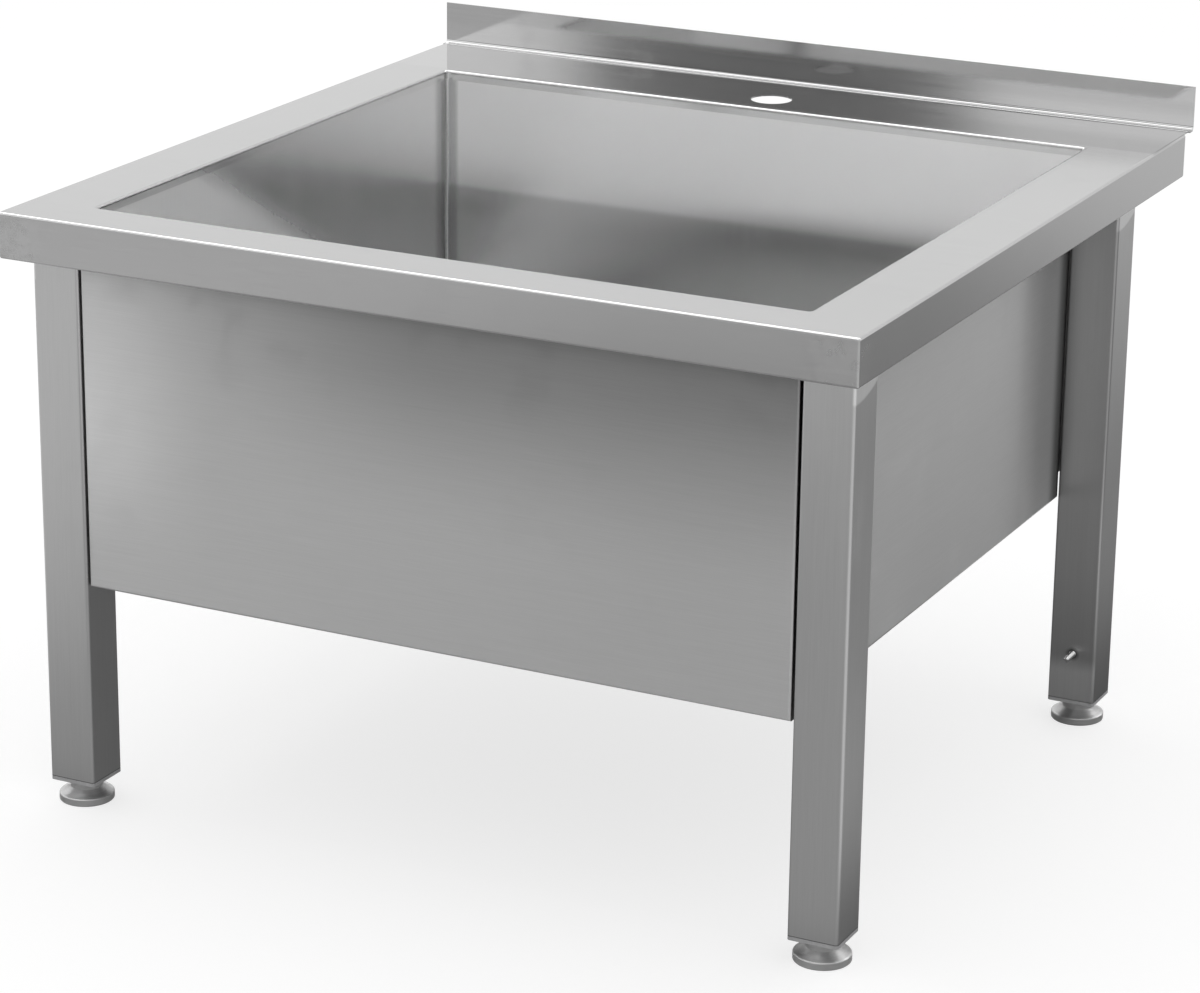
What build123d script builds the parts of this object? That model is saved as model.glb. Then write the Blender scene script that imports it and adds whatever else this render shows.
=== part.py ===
from build123d import *
import os

# Low stainless-steel utility sink: one welded bowl in a folded worktop, on four square legs.
# Millimetres. Z is up and the floor is z = 0. The origin is on the floor, under the middle of
# the worktop. The user stands at -Y, the upstand is at +Y, and left and right are the user's.

OVERRUN = 1.0               # how far a cutting solid runs past what it cuts
ROUNDING = 0.6              # edge rounding of small pieces, as a share of the thickness rounded

# ---------------------------------------------------------------- driving dimensions
WIDTH = 700.0               # over the side skirts
DEPTH = 700.0               # front skirt to the back of the upstand
RIM_HEIGHT = 484.0          # floor to the rim's upper face

# worktop, one folded sheet
TOP_SHEET = 1.2
SKIRT_HEIGHT = 36.0
UPSTAND_HEIGHT = 36.0
TOP_BEND = 2.0              # outer radius of the folds
UPSTAND_BEND = 3.0          # inner radius of the fold at the foot of the upstand
SKIRT_TO_BACK = 20.0        # the side skirts stop this far ahead of the upstand's back
UPSTAND_STRIP = 8.0         # full-width strip at the foot of the upstand, behind the relief notch
SIDE_RIM = 56.5             # side skirt to the bowl
FRONT_RIM = 46.5            # front skirt to the bowl
REAR_LEDGE = 104.5          # bowl to the back of the upstand
COLLAR_DROP = 8.0           # the worktop's down-turned edge round the bowl
TAP_HOLE_RADIUS = 17.5
TAP_TO_BACK = 68.5

# bowl, welded from four walls and a floor
BOWL_SHEET = 1.2
BOWL_DEPTH = 268.0          # rim to the floor's edge
BOWL_CORNER = 2.5           # inner radius of the upright corners
BOWL_COVE = 2.0             # inner radius between walls and floor
FLOOR_SEAM = 20.0           # height of the wall seam over the floor's edge
FLOOR_FALL = 8.0            # fall from the flat margin to the drain
FLOOR_MARGIN = 30.0         # flat margin of the floor
DRAIN_FLAT = 84.0           # flat square round the drain hole
WELD_BEAD = 0.8             # radius of the polished bead in each upright corner

# legs
LEG_SIZE = 40.0
LEG_WALL = 1.5
LEG_CORNER = 2.5
LEG_SIDE_INSET = 12.5       # side skirt to the leg's outer face
FRONT_LEG_INSET = 26.0      # front skirt to the front leg's front face
REAR_LEG_INSET = 139.0      # back of the upstand to the rear leg's front face
LIP_GAP = 0.4               # skirt's return lip to the leg's face
LEG_WELD = 4.0              # size of the fillet weld under the lip

# stiffeners welded under the rim, rectangular tube
STIFFENER_HEIGHT = 20.0
STIFFENER_WALL = 1.5
FRONT_STIFFENER_WIDTH = 17.0
SIDE_STIFFENER_WIDTH = 36.0
REAR_STIFFENER_WIDTH = 10.0

# cladding panels
PANEL_SHEET = 1.0
PANEL_BEND = 2.0
PANEL_FLANGE = 14.0
SIDE_TOP_FLANGE = 18.0      # reaches out under the side stiffener
FRONT_PANEL_SETBACK = 0.7   # behind the front face of the front legs
FRONT_PANEL_DROP = 297.0    # rim to the panel's lower edge
FRONT_PANEL_GAP = 2.0       # to the inner face of each leg
SIDE_PANEL_SETBACK = 0.1    # inside the inner face of the legs
SIDE_PANEL_DROP = 287.0
SIDE_PANEL_GAP = 0.5        # to the front and rear legs
RIVET_RADIUS = 2.0
RIVET_HEAD_RADIUS = 4.0
RIVET_HEAD = 1.2
RIVET_BULB_RADIUS = 2.8
RIVET_BULB = 4.0
RIVET_CLEARANCE = 0.05
RIVET_EDGE = 7.0            # rivet to the face of the stiffener on the bowl's or the user's side
FRONT_RIVET_PITCH = 230.0
SIDE_RIVET_PITCH = 170.0

# leg inserts and adjustable feet
FOOT_EXPOSED = 19.0         # floor to the insert's flange
INSERT_FLANGE = 3.0
INSERT_PLUG = 22.0
INSERT_CLEARANCE = 0.3
STUD_RADIUS = 5.0
THREAD_CLEARANCE = 0.05
FOOT_RADIUS = 21.75
FOOT_RIM = 6.5              # height of the foot's upright band
FOOT_EDGE = 1.2
FOOT_NECK_RADIUS = 12.7
FOOT_FLARE = 4.5            # rise of the flared upper face
FOOT_FLARE_MIDDLE = 1.4     # rise of the flare half-way in
FOOT_HEIGHT = 16.0
FOOT_SOCKET = 8.0           # depth of the stud in the foot
STUD_ABOVE_INSERT = 10.0    # stud inside the leg above the insert
STUD_TIP = 1.0

# waste fitting
DRAIN_HOLE_RADIUS = 27.0
WASTE_CLEARANCE = 0.5
WASTE_FLANGE_RADIUS = 36.0
WASTE_FLANGE = 2.0
WASTE_GASKET = 2.0
GASKET_INSET = 1.0          # gasket's edge inside the flange's edge
WASTE_WALL = 4.5
WASTE_SHANK = 26.0          # large thread below the flange's seat
SEAT_DEPTH = 13.0           # strainer's ledge below the flange's face
OUTLET_RADIUS = 23.9        # one and a half inch pipe thread
OUTLET_LENGTH = 28.0
OUTLET_BORE_RADIUS = 19.0
LOCK_NUT_RADIUS = 37.0
LOCK_NUT_HEIGHT = 9.0

# lift-out strainer
STRAINER_CLEARANCE = 0.3
STRAINER_PLATE = 2.0
STRAINER_POST_RADIUS = 2.5
STRAINER_POST = 7.0
STRAINER_KNOB_RADIUS = 6.0
STRAINER_KNOB = 3.5
STRAINER_HOLE_RADIUS = 1.7
STRAINER_RINGS = ((9.0, 8), (15.0, 14))     # radius of each ring and its number of holes

# earthing point on the rear right leg
EARTH_RADIUS = 2.5
EARTH_LENGTH = 15.0
EARTH_TIP = 0.5
EARTH_HEIGHT = 63.0
EARTH_COLLAR_RADIUS = 3.2   # collar that the weld forms at the stud's foot
EARTH_COLLAR = 1.0

# ---------------------------------------------------------------- levels and planes
HALF = WIDTH / 2
FRONT = -DEPTH / 2
BACK = DEPTH / 2
SKIRT_FOOT = RIM_HEIGHT - SKIRT_HEIGHT
TOP_UNDERSIDE = RIM_HEIGHT - TOP_SHEET
SKIRT_END = BACK - SKIRT_TO_BACK

BOWL_HALF = HALF - SIDE_RIM
BOWL_FRONT = FRONT + FRONT_RIM
BOWL_BACK = BACK - REAR_LEDGE
BOWL_MIDDLE = (BOWL_FRONT + BOWL_BACK) / 2
BOWL_TOP = RIM_HEIGHT - COLLAR_DROP
FLOOR_EDGE = RIM_HEIGHT - BOWL_DEPTH
FLOOR_CENTRE = FLOOR_EDGE - FLOOR_FALL
SEAM = FLOOR_EDGE + FLOOR_SEAM

LEG_OUTER = HALF - LEG_SIDE_INSET
LEG_INNER = LEG_OUTER - LEG_SIZE
FRONT_LEG_FACE = FRONT + FRONT_LEG_INSET
REAR_LEG_FACE = BACK - REAR_LEG_INSET
LEG_FOOT = FOOT_EXPOSED + INSERT_FLANGE
LEG_AXIS_X = LEG_OUTER - LEG_SIZE / 2
LEGS = {
    "front_left": (-1, FRONT_LEG_FACE + LEG_SIZE / 2),
    "front_right": (1, FRONT_LEG_FACE + LEG_SIZE / 2),
    "rear_left": (-1, REAR_LEG_FACE + LEG_SIZE / 2),
    "rear_right": (1, REAR_LEG_FACE + LEG_SIZE / 2),
}

STIFFENER_FOOT = TOP_UNDERSIDE - STIFFENER_HEIGHT
SIDE_PANEL_FACE = LEG_INNER - SIDE_PANEL_SETBACK
SIDE_PANEL_MIDDLE = (FRONT_LEG_FACE + LEG_SIZE + REAR_LEG_FACE) / 2
THREAD_BORE_RADIUS = STUD_RADIUS + THREAD_CLEARANCE

WASTE_SEAT = FLOOR_CENTRE + WASTE_GASKET
WASTE_TOP = WASTE_SEAT + WASTE_FLANGE
SHANK_RADIUS = DRAIN_HOLE_RADIUS - WASTE_CLEARANCE
SHANK_FOOT = WASTE_SEAT - WASTE_SHANK
OUTLET_FOOT = SHANK_FOOT - OUTLET_LENGTH
STRAINER_SEAT = WASTE_TOP - SEAT_DEPTH
THROAT_RADIUS = SHANK_RADIUS - WASTE_WALL
LOCK_NUT_TOP = FLOOR_CENTRE - BOWL_SHEET - WASTE_GASKET


# ---------------------------------------------------------------- shapes used more than once
def block(x, y, z):
    """Box between a low and a high limit along each axis."""
    size = [high - low for low, high in (x, y, z)]
    centre = [(high + low) / 2 for low, high in (x, y, z)]
    return Pos(*centre) * Box(*size)


def rounded_block(x, y, z, radius):
    """Block whose four upright edges are rounded."""
    solid = block(x, y, z)
    return fillet(solid.edges().filter_by(Axis.Z), radius)


def disc(x, y, z, radius):
    """Upright cylinder between two heights."""
    low, high = z
    return Pos(x, y, (low + high) / 2) * Cylinder(radius, high - low)


def rod(x, y, z, radius):
    """Cylinder along Y between two places."""
    low, high = y
    return Pos(x, (low + high) / 2, z) * Rot(90, 0, 0) * Cylinder(radius, high - low)


def ring(x, y, z, radius, bore):
    """Upright cylinder with a bore."""
    return disc(x, y, z, radius) - disc(x, y, (z[0] - OVERRUN, z[1] + OVERRUN), bore)


def square_tube_x(x, y, z, wall):
    """Rectangular tube along X."""
    inner_y = (y[0] + wall, y[1] - wall)
    inner_z = (z[0] + wall, z[1] - wall)
    return block(x, y, z) - block((x[0] - OVERRUN, x[1] + OVERRUN), inner_y, inner_z)


def square_tube_y(x, y, z, wall):
    """Rectangular tube along Y."""
    inner_x = (x[0] + wall, x[1] - wall)
    inner_z = (z[0] + wall, z[1] - wall)
    return block(x, y, z) - block(inner_x, (y[0] - OVERRUN, y[1] + OVERRUN), inner_z)


def near(value, target):
    """True where two lengths agree within a hundredth of a millimetre."""
    return abs(value - target) < 0.01


def save(shape, node):
    """Write one node's STEP file."""
    export_step(shape, f"parts/{node}.step")


def save_group(shapes, node):
    """Write several separate solids as one node."""
    save(Compound(children=shapes), node)


# ---------------------------------------------------------------- worktop
def fold_edges(solid):
    """Edges of a skirted block that the press folds: front and sides, not the rear."""
    edges = [e for e in solid.edges().filter_by(Axis.X) if e.center().Y < 0]
    edges += [e for e in solid.edges().filter_by(Axis.Z) if e.center().Y < 0]
    return edges + list(solid.edges().filter_by(Axis.Y))


def skirted_sheet():
    """Top sheet with its front and side skirts and their return lips."""
    outside = block((-HALF, HALF), (FRONT, BACK), (SKIRT_FOOT, RIM_HEIGHT))
    outside = fillet(fold_edges(outside), TOP_BEND)
    inner_half = HALF - TOP_SHEET
    inner_y = (FRONT + TOP_SHEET, BACK + OVERRUN)
    inside = block((-inner_half, inner_half), inner_y, (SKIRT_FOOT + TOP_SHEET, TOP_UNDERSIDE))
    inside = fillet(fold_edges(inside), TOP_BEND - TOP_SHEET)
    lip_x = LEG_OUTER + LIP_GAP
    lip_y = (FRONT_LEG_FACE - LIP_GAP, BACK + OVERRUN)
    mouth = block((-lip_x, lip_x), lip_y, (SKIRT_FOOT - OVERRUN, SKIRT_FOOT + TOP_SHEET + OVERRUN))
    behind = (SKIRT_END, BACK + OVERRUN)
    open_rear = block((-HALF - OVERRUN, HALF + OVERRUN), behind, (SKIRT_FOOT - OVERRUN, TOP_UNDERSIDE))
    return outside - inside - mouth - open_rear


def upstand():
    """Upright rear edge: an angle whose fold is rounded on both faces."""
    foot = (BACK - UPSTAND_STRIP, BACK)
    angle = block((-HALF, HALF), foot, (TOP_UNDERSIDE, RIM_HEIGHT))
    angle += block((-HALF, HALF), (BACK - TOP_SHEET, BACK), (TOP_UNDERSIDE, RIM_HEIGHT + UPSTAND_HEIGHT))
    along = angle.edges().filter_by(Axis.X)
    hollow = [e for e in along if near(e.center().Y, BACK - TOP_SHEET) and near(e.center().Z, RIM_HEIGHT)]
    angle = fillet(hollow, UPSTAND_BEND)
    along = angle.edges().filter_by(Axis.X)
    outer = [e for e in along if near(e.center().Y, BACK) and near(e.center().Z, TOP_UNDERSIDE)]
    return fillet(outer, UPSTAND_BEND + TOP_SHEET)


def bowl_prism(grow, z):
    """Upright prism on the bowl's outline, grown outwards by a sheet's thickness."""
    x = (-BOWL_HALF - grow, BOWL_HALF + grow)
    y = (BOWL_FRONT - grow, BOWL_BACK + grow)
    return rounded_block(x, y, z, BOWL_CORNER + grow)


def opening_loop(solid, height, grow):
    """Edges of the bowl's outline at one height."""
    x_limit = BOWL_HALF + grow + OVERRUN
    y_low, y_high = BOWL_FRONT - grow - OVERRUN, BOWL_BACK + grow + OVERRUN
    level = [e for e in solid.edges() if near(e.center().Z, height)]
    level = [e for e in level if near(e.bounding_box().size.Z, 0)]
    return [e for e in level if abs(e.center().X) < x_limit and y_low < e.center().Y < y_high]


def worktop():
    sheet = skirted_sheet() + upstand()
    notch = (SKIRT_END, BACK - UPSTAND_STRIP)
    for side in (-1, 1):
        limits = sorted((side * (HALF - TOP_BEND), side * (HALF + OVERRUN)))
        sheet -= block(limits, notch, (SKIRT_FOOT, RIM_HEIGHT + OVERRUN))
    sheet += bowl_prism(BOWL_SHEET, (BOWL_TOP, RIM_HEIGHT))
    sheet -= bowl_prism(0, (BOWL_TOP - OVERRUN, RIM_HEIGHT + OVERRUN))
    sheet = fillet(opening_loop(sheet, TOP_UNDERSIDE, BOWL_SHEET), TOP_BEND - TOP_SHEET)
    sheet = fillet(opening_loop(sheet, RIM_HEIGHT, 0), TOP_BEND)
    hole_z = (TOP_UNDERSIDE - OVERRUN, RIM_HEIGHT + OVERRUN)
    return sheet - disc(0, BACK - TAP_TO_BACK, hole_z, TAP_HOLE_RADIUS)


# ---------------------------------------------------------------- bowl
def bowl_volume(grow):
    """Inside of the bowl, or its outside when grown: a box with coves and a pyramid to the drain."""
    floor_z = FLOOR_EDGE - grow
    box = bowl_prism(grow, (floor_z, BOWL_TOP + (OVERRUN if grow == 0 else 0)))
    bottom = [e for e in box.edges() if near(e.center().Z, floor_z)]
    box = fillet(bottom, BOWL_COVE + grow)
    margin_x = 2 * (BOWL_HALF - FLOOR_MARGIN)
    margin_y = BOWL_BACK - BOWL_FRONT - 2 * FLOOR_MARGIN
    upper = Pos(0, BOWL_MIDDLE, floor_z) * Rectangle(margin_x, margin_y)
    lower = Pos(0, BOWL_MIDDLE, floor_z - FLOOR_FALL) * Rectangle(DRAIN_FLAT, DRAIN_FLAT)
    return box + loft([upper, lower], ruled=True)


def bowl_shell():
    return bowl_volume(BOWL_SHEET) - bowl_volume(0)


def wall_sectors():
    """Plan regions of the four walls, parted on the diagonals of the rounded corners."""
    reach = BOWL_SHEET + OVERRUN
    x_out, x_in = BOWL_HALF + reach, BOWL_HALF - BOWL_CORNER
    front_out, front_in = BOWL_FRONT - reach, BOWL_FRONT + BOWL_CORNER
    back_out, back_in = BOWL_BACK + reach, BOWL_BACK - BOWL_CORNER
    return {
        "bowl_front_wall": [(-x_out, front_out), (x_out, front_out), (x_in, front_in), (-x_in, front_in)],
        "bowl_rear_wall": [(-x_out, back_out), (x_out, back_out), (x_in, back_in), (-x_in, back_in)],
        "bowl_left_wall": [(-x_out, front_out), (-x_in, front_in), (-x_in, back_in), (-x_out, back_out)],
        "bowl_right_wall": [(x_out, front_out), (x_in, front_in), (x_in, back_in), (x_out, back_out)],
    }


def bowl_walls(shell):
    """The shell above the seam, cut into its four walls."""
    walls = {}
    for node, corners in wall_sectors().items():
        plan = make_face(Polyline(*corners, close=True))
        sector = extrude(Pos(0, 0, SEAM) * plan, BOWL_TOP - SEAM, dir=(0, 0, 1))
        walls[node] = shell & sector
    return walls


def bowl_floor(shell):
    x_out = BOWL_HALF + BOWL_SHEET + OVERRUN
    y_out = (BOWL_FRONT - BOWL_SHEET - OVERRUN, BOWL_BACK + BOWL_SHEET + OVERRUN)
    low = FLOOR_CENTRE - BOWL_SHEET - OVERRUN
    floor = shell & block((-x_out, x_out), y_out, (low, SEAM))
    return floor - disc(0, BOWL_MIDDLE, (low, FLOOR_EDGE), DRAIN_HOLE_RADIUS)


def bowl_corner_welds(shell):
    """Polished beads up the middle of the four rounded corners, on the inside."""
    inset = BOWL_CORNER * (1 - 0.5 ** 0.5)
    beads = []
    for side in (-1, 1):
        for y in (BOWL_FRONT + inset, BOWL_BACK - inset):
            bead = disc(side * (BOWL_HALF - inset), y, (SEAM, BOWL_TOP), WELD_BEAD)
            beads.append(bead - shell)
    return beads


# ---------------------------------------------------------------- frame
def leg(side, y):
    """Square tube from the insert's flange to the underside of the worktop."""
    x = side * LEG_AXIS_X
    half = LEG_SIZE / 2
    bore = half - LEG_WALL
    height = (LEG_FOOT, TOP_UNDERSIDE)
    outside = rounded_block((x - half, x + half), (y - half, y + half), height, LEG_CORNER)
    through = (LEG_FOOT - OVERRUN, TOP_UNDERSIDE + OVERRUN)
    inside = rounded_block((x - bore, x + bore), (y - bore, y + bore), through, LEG_CORNER - LEG_WALL)
    return outside - inside


def leg_welds():
    """Fillet welds under the return lip: outside each leg, and in front of the front legs."""
    beads = []
    half = LEG_SIZE / 2
    straight = LEG_SIZE - 2 * LEG_CORNER
    low = SKIRT_FOOT - LEG_WELD
    for side, y in LEGS.values():
        face = side * LEG_OUTER
        bead = Pos(face, y, SKIRT_FOOT) * Rot(90, 0, 0) * Cylinder(LEG_WELD, straight)
        keep_x = sorted((face, face + side * LEG_WELD))
        beads.append(bead & block(keep_x, (y - half, y + half), (low, SKIRT_FOOT)))
    for side in (-1, 1):
        x = side * LEG_AXIS_X
        bead = Pos(x, FRONT_LEG_FACE, SKIRT_FOOT) * Rot(0, 90, 0) * Cylinder(LEG_WELD, straight)
        keep_y = (FRONT_LEG_FACE - LEG_WELD, FRONT_LEG_FACE)
        beads.append(bead & block((x - half, x + half), keep_y, (low, SKIRT_FOOT)))
    return beads


def rivet_places():
    """Plan positions of the rivets on each stiffener, from its middle outwards."""
    front_y = FRONT_LEG_FACE + RIVET_EDGE
    side_x = LEG_OUTER - SIDE_STIFFENER_WIDTH + RIVET_EDGE
    steps = (-1, 0, 1)
    return {
        "front": [(step * FRONT_RIVET_PITCH, front_y) for step in steps],
        "left": [(-side_x, SIDE_PANEL_MIDDLE + step * SIDE_RIVET_PITCH) for step in steps],
        "right": [(side_x, SIDE_PANEL_MIDDLE + step * SIDE_RIVET_PITCH) for step in steps],
    }


def drilled(solid, places, z):
    """Solid with a rivet hole at each place."""
    for x, y in places:
        solid -= disc(x, y, z, RIVET_RADIUS + RIVET_CLEARANCE)
    return solid


def stiffener_holes():
    return (STIFFENER_FOOT - OVERRUN, STIFFENER_FOOT + STIFFENER_WALL + OVERRUN)


def front_stiffener():
    y = (FRONT_LEG_FACE, FRONT_LEG_FACE + FRONT_STIFFENER_WIDTH)
    tube = square_tube_x((-LEG_INNER, LEG_INNER), y, (STIFFENER_FOOT, TOP_UNDERSIDE), STIFFENER_WALL)
    return drilled(tube, rivet_places()["front"], stiffener_holes())


def side_stiffener(side):
    x = sorted((side * (LEG_OUTER - SIDE_STIFFENER_WIDTH), side * LEG_OUTER))
    y = (FRONT_LEG_FACE + LEG_SIZE, REAR_LEG_FACE)
    tube = square_tube_y(x, y, (STIFFENER_FOOT, TOP_UNDERSIDE), STIFFENER_WALL)
    return drilled(tube, rivet_places()["left" if side < 0 else "right"], stiffener_holes())


def rear_stiffener():
    rear_face = REAR_LEG_FACE + LEG_SIZE
    y = (rear_face, rear_face + REAR_STIFFENER_WIDTH)
    return square_tube_x((-LEG_OUTER, LEG_OUTER), y, (STIFFENER_FOOT, TOP_UNDERSIDE), STIFFENER_WALL)


# ---------------------------------------------------------------- cladding panels
def front_panel():
    """Shallow tray between the front legs, its rims folded back and its top rim riveted up."""
    half = LEG_INNER - FRONT_PANEL_GAP
    face = FRONT_LEG_FACE + FRONT_PANEL_SETBACK
    y = (face, face + PANEL_FLANGE)
    z = (RIM_HEIGHT - FRONT_PANEL_DROP, STIFFENER_FOOT)
    tray = block((-half, half), y, z)
    tray = fillet([e for e in tray.edges() if near(e.center().Y, face)], PANEL_BEND)
    inner = half - PANEL_SHEET
    inner_z = (z[0] + PANEL_SHEET, z[1] - PANEL_SHEET)
    hollow = block((-inner, inner), (face + PANEL_SHEET, y[1] + OVERRUN), inner_z)
    hollow_face = [e for e in hollow.edges() if near(e.center().Y, face + PANEL_SHEET)]
    tray -= fillet(hollow_face, PANEL_BEND - PANEL_SHEET)
    holes = (STIFFENER_FOOT - PANEL_SHEET - OVERRUN, STIFFENER_FOOT + OVERRUN)
    return drilled(tray, rivet_places()["front"], holes)


def side_panel(side):
    """Z-shaped sheet: top flange outwards under the stiffener, lower flange in under the bowl."""
    low = RIM_HEIGHT - SIDE_PANEL_DROP
    high = STIFFENER_FOOT
    face = SIDE_PANEL_FACE
    inner = face - PANEL_SHEET
    flange_out = inner + SIDE_TOP_FLANGE
    flange_in = face - PANEL_FLANGE
    outline = [
        (flange_in, low), (face, low), (face, high - PANEL_SHEET), (flange_out, high - PANEL_SHEET),
        (flange_out, high), (inner, high), (inner, low + PANEL_SHEET), (flange_in, low + PANEL_SHEET),
    ]
    section = make_face(Polyline(*outline, close=True))
    inside_bend = PANEL_BEND - PANEL_SHEET
    bends = {1: PANEL_BEND, 2: inside_bend, 5: PANEL_BEND, 6: inside_bend}
    for index, radius in bends.items():
        section = fillet(section.vertices().sort_by_distance(outline[index])[0], radius)
    length = REAR_LEG_FACE - FRONT_LEG_FACE - LEG_SIZE - 2 * SIDE_PANEL_GAP
    sheet = extrude(section, length / 2, both=True)
    sheet = Pos(0, SIDE_PANEL_MIDDLE, 0) * Rot(90, 0, 0) * sheet
    if side < 0:
        sheet = mirror(sheet, about=Plane.YZ)
    holes = (STIFFENER_FOOT - PANEL_SHEET - OVERRUN, STIFFENER_FOOT + OVERRUN)
    return drilled(sheet, rivet_places()["left" if side < 0 else "right"], holes)


def rivet(x, y):
    """Blind rivet through a panel's flange and the stiffener's lower wall."""
    under = STIFFENER_FOOT - PANEL_SHEET
    inside = STIFFENER_FOOT + STIFFENER_WALL
    head = disc(x, y, (under - RIVET_HEAD, under), RIVET_HEAD_RADIUS)
    head = fillet(head.edges().sort_by(Axis.Z)[0], RIVET_HEAD * ROUNDING)
    shank = disc(x, y, (under - RIVET_HEAD / 2, inside + RIVET_BULB / 2), RIVET_RADIUS)
    return head + shank + disc(x, y, (inside, inside + RIVET_BULB), RIVET_BULB_RADIUS)


# ---------------------------------------------------------------- inserts and feet
def leg_insert(side, y):
    """Square plug with a flange that closes the tube and carries the foot's thread."""
    x = side * LEG_AXIS_X
    half = LEG_SIZE / 2
    plug = half - LEG_WALL - INSERT_CLEARANCE
    flange = (FOOT_EXPOSED, LEG_FOOT)
    body = rounded_block((x - half, x + half), (y - half, y + half), flange, LEG_CORNER)
    corner = LEG_CORNER - LEG_WALL
    plug_z = (LEG_FOOT, LEG_FOOT + INSERT_PLUG)
    body += rounded_block((x - plug, x + plug), (y - plug, y + plug), plug_z, corner)
    return body - disc(x, y, (FOOT_EXPOSED - OVERRUN, plug_z[1] + OVERRUN), THREAD_BORE_RADIUS)


def foot_base(side, y):
    """Round foot: upright band, flared upper face, neck, and a socket for the stud."""
    band = FOOT_RADIUS - FOOT_EDGE
    shoulder = FOOT_RIM + FOOT_FLARE
    half_way = ((band + FOOT_NECK_RADIUS) / 2, FOOT_RIM + FOOT_FLARE_MIDDLE)
    outline = Polyline((0, FOOT_HEIGHT), (0, 0), (band, 0))
    outline += RadiusArc((band, 0), (FOOT_RADIUS, FOOT_EDGE), -FOOT_EDGE)
    outline += Line((FOOT_RADIUS, FOOT_EDGE), (FOOT_RADIUS, FOOT_RIM - FOOT_EDGE))
    outline += RadiusArc((FOOT_RADIUS, FOOT_RIM - FOOT_EDGE), (band, FOOT_RIM), -FOOT_EDGE)
    outline += ThreePointArc((band, FOOT_RIM), half_way, (FOOT_NECK_RADIUS, shoulder))
    outline += Polyline((FOOT_NECK_RADIUS, shoulder), (FOOT_NECK_RADIUS, FOOT_HEIGHT), (0, FOOT_HEIGHT))
    foot = revolve(Plane.XZ * make_face(outline), Axis.Z)
    foot = Pos(side * LEG_AXIS_X, y, 0) * foot
    socket = (FOOT_HEIGHT - FOOT_SOCKET, FOOT_HEIGHT + OVERRUN)
    return foot - disc(side * LEG_AXIS_X, y, socket, THREAD_BORE_RADIUS)


def foot_stud(side, y):
    """Threaded stud, standing on the floor of the foot's socket."""
    top = LEG_FOOT + INSERT_PLUG + STUD_ABOVE_INSERT
    stud = disc(side * LEG_AXIS_X, y, (FOOT_HEIGHT - FOOT_SOCKET, top), STUD_RADIUS)
    return chamfer(stud.edges().sort_by(Axis.Z)[-1], STUD_TIP)


# ---------------------------------------------------------------- waste
def waste_body():
    """Flanged outlet: wide threaded shank, ledge for the strainer, pipe thread below."""
    body = disc(0, BOWL_MIDDLE, (WASTE_SEAT, WASTE_TOP), WASTE_FLANGE_RADIUS)
    body = fillet(body.edges().sort_by(Axis.Z)[-1], WASTE_FLANGE * ROUNDING)
    body += disc(0, BOWL_MIDDLE, (SHANK_FOOT, WASTE_SEAT), SHANK_RADIUS)
    body += disc(0, BOWL_MIDDLE, (OUTLET_FOOT, SHANK_FOOT), OUTLET_RADIUS)
    body -= disc(0, BOWL_MIDDLE, (STRAINER_SEAT, WASTE_TOP + OVERRUN), THROAT_RADIUS)
    return body - disc(0, BOWL_MIDDLE, (OUTLET_FOOT - OVERRUN, STRAINER_SEAT + OVERRUN), OUTLET_BORE_RADIUS)


def waste_gasket(z):
    return ring(0, BOWL_MIDDLE, z, WASTE_FLANGE_RADIUS - GASKET_INSET, DRAIN_HOLE_RADIUS)


def waste_lock_nut():
    """Six-sided ring nut that draws the waste down on the floor."""
    foot = LOCK_NUT_TOP - LOCK_NUT_HEIGHT
    nut = extrude(Pos(0, BOWL_MIDDLE, foot) * RegularPolygon(LOCK_NUT_RADIUS, 6), LOCK_NUT_HEIGHT)
    bore = SHANK_RADIUS + THREAD_CLEARANCE
    return nut - disc(0, BOWL_MIDDLE, (foot - OVERRUN, LOCK_NUT_TOP + OVERRUN), bore)


def strainer():
    """Perforated plate with a post and a finger knob, lying on the waste's ledge."""
    plate_top = STRAINER_SEAT + STRAINER_PLATE
    post_top = plate_top + STRAINER_POST
    plate = disc(0, BOWL_MIDDLE, (STRAINER_SEAT, plate_top), THROAT_RADIUS - STRAINER_CLEARANCE)
    for radius, count in STRAINER_RINGS:
        through = Pos(0, BOWL_MIDDLE, STRAINER_SEAT + STRAINER_PLATE / 2)
        holes = PolarLocations(radius, count) * Cylinder(STRAINER_HOLE_RADIUS, STRAINER_PLATE + 2 * OVERRUN)
        plate -= [through * hole for hole in holes]
    plate += disc(0, BOWL_MIDDLE, (plate_top, post_top), STRAINER_POST_RADIUS)
    knob = disc(0, BOWL_MIDDLE, (post_top, post_top + STRAINER_KNOB), STRAINER_KNOB_RADIUS)
    return plate + fillet(knob.edges(), STRAINER_KNOB * ROUNDING / 2)


# ---------------------------------------------------------------- earthing point
def earth_stud():
    """Threaded stud with its weld collar, standing on the rear right leg's front face."""
    face = REAR_LEG_FACE
    stud = rod(LEG_AXIS_X, (face - EARTH_LENGTH, face), EARTH_HEIGHT, EARTH_RADIUS)
    stud = chamfer(stud.edges().sort_by(Axis.Y)[0], EARTH_TIP)
    return stud + rod(LEG_AXIS_X, (face - EARTH_COLLAR, face), EARTH_HEIGHT, EARTH_COLLAR_RADIUS)


# ---------------------------------------------------------------- write every node
os.makedirs("parts", exist_ok=True)

save(worktop(), "worktop")
bowl = bowl_shell()
for node, wall in bowl_walls(bowl).items():
    save(wall, node)
save(bowl_floor(bowl), "bowl_floor")
save_group(bowl_corner_welds(bowl), "bowl_corner_welds")

save(front_stiffener(), "front_stiffener")
save(side_stiffener(-1), "left_stiffener")
save(side_stiffener(1), "right_stiffener")
save(rear_stiffener(), "rear_stiffener")

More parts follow.
